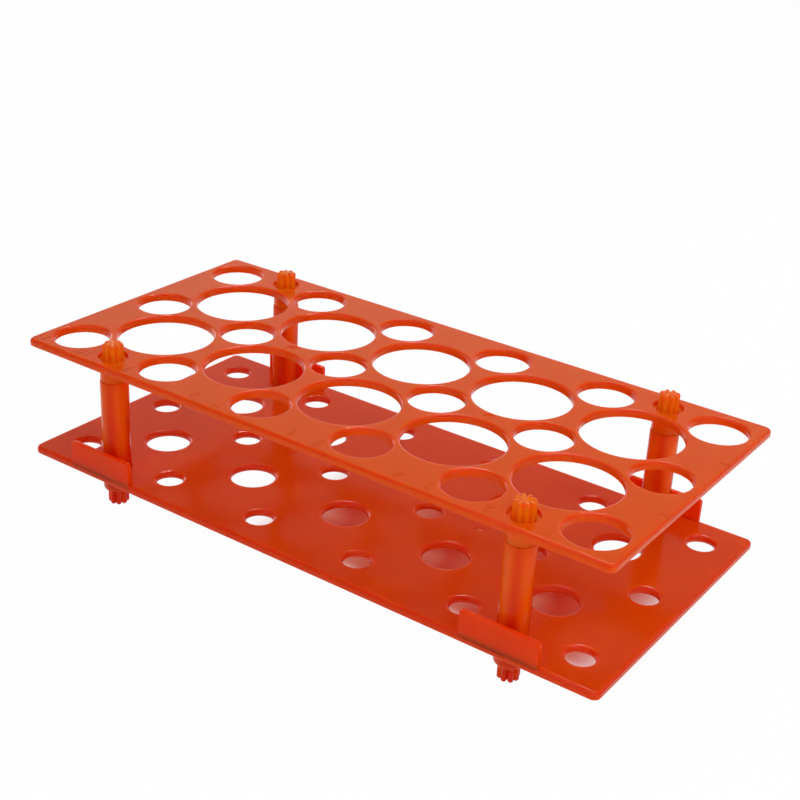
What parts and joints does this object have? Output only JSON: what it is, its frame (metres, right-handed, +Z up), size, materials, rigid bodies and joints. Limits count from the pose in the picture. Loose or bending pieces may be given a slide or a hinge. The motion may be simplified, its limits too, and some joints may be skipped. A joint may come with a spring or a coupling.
{
  "type": "two-tier centrifuge tube rack",
  "caption": "Rack of two pierced plates on four push-fit posts, with round holes in two sizes that hold conical centrifuge tubes upright.",
  "frame": {"origin": "centre of the footprint, on the surface that the four feet stand on", "axes": "+X along the rack's long side, +Z up"},
  "size_m": [0.204, 0.0964, 0.0544],
  "materials": {
    "plate": "moulded polypropylene, slightly translucent, satin to gloss",
    "post": "moulded polypropylene, translucent, gloss"
  },
  "bodies": {
    "root": {"top_plate": "plate", "bottom_plate": "plate", "post_front_left": "post", "post_front_right": "post", "post_rear_left": "post", "post_rear_right": "post"}
  },
  "joints": []
}
